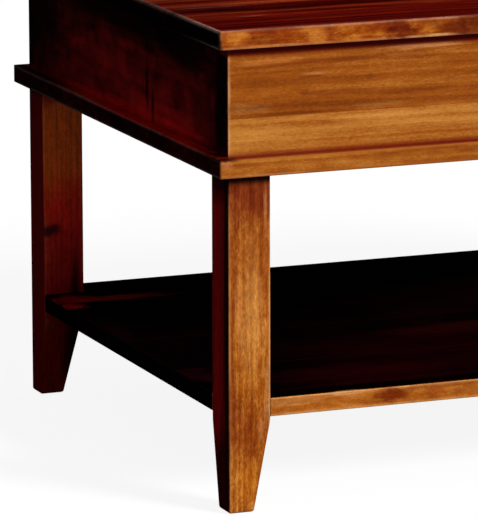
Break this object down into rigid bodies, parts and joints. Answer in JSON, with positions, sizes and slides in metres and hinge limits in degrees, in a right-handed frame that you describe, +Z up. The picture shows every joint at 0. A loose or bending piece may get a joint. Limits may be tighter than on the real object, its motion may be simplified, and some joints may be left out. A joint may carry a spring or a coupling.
{
  "type": "coffee table",
  "caption": "Solid wood coffee table with a deep closed case, square legs tapered below an open shelf, and overhanging flat boards above and under the case.",
  "frame": {"origin": "on the floor, under the middle of the table top", "axes": "+X along the length of the table to the right, +Y from the front to the back, +Z up"},
  "size_m": [1.22, 0.61, 0.483],
  "materials": {
    "top_stain": "rubbed semi-gloss over a deep red-brown stain",
    "front_stain": "satin over a golden brown stain",
    "side_stain": "satin over a deep red-brown stain",
    "base_stain": "satin over a golden brown stain",
    "leg_stain": "satin over a golden brown stain",
    "shelf_stain": "satin over a deep red-brown stain",
    "bare_wood": "planed, unfinished",
    "dowel_wood": "unfinished",
    "zinc": "bright zinc plated"
  },
  "bodies": {
    "root": {"top_board_1": "top_stain", "top_board_2": "top_stain", "top_board_3": "top_stain", "top_board_4": "top_stain", "front_upper_board": "front_stain", "front_lower_board": "front_stain", "back_upper_board": "front_stain", "back_lower_board": "front_stain", "left_panel": "side_stain", "right_panel": "side_stain", "base_board_1": "base_stain", "base_board_2": "base_stain", "base_board_3": "base_stain", "base_board_4": "base_stain", "leg_front_left": "leg_stain", "leg_front_right": "leg_stain", "leg_back_right": "leg_stain", "leg_back_left": "leg_stain", "shelf_board_1": "shelf_stain", "shelf_board_2": "shelf_stain", "shelf_board_3": "shelf_stain", "shelf_board_4": "shelf_stain", "cross_rail": "bare_wood", "front_cleat": "bare_wood", "back_cleat": "bare_wood", "left_cleat": "bare_wood", "right_cleat": "bare_wood", "block_front_left": "bare_wood", "block_front_right": "bare_wood", "block_back_right": "bare_wood", "block_back_left": "bare_wood", "case_dowels": "dowel_wood", "cross_rail_dowels": "dowel_wood", "leg_dowels": "dowel_wood", "shelf_dowels": "dowel_wood", "hanger_bolts": "zinc", "washers": "zinc", "nuts": "zinc", "case_screws": "zinc", "top_screws": "zinc"}
  },
  "joints": []
}
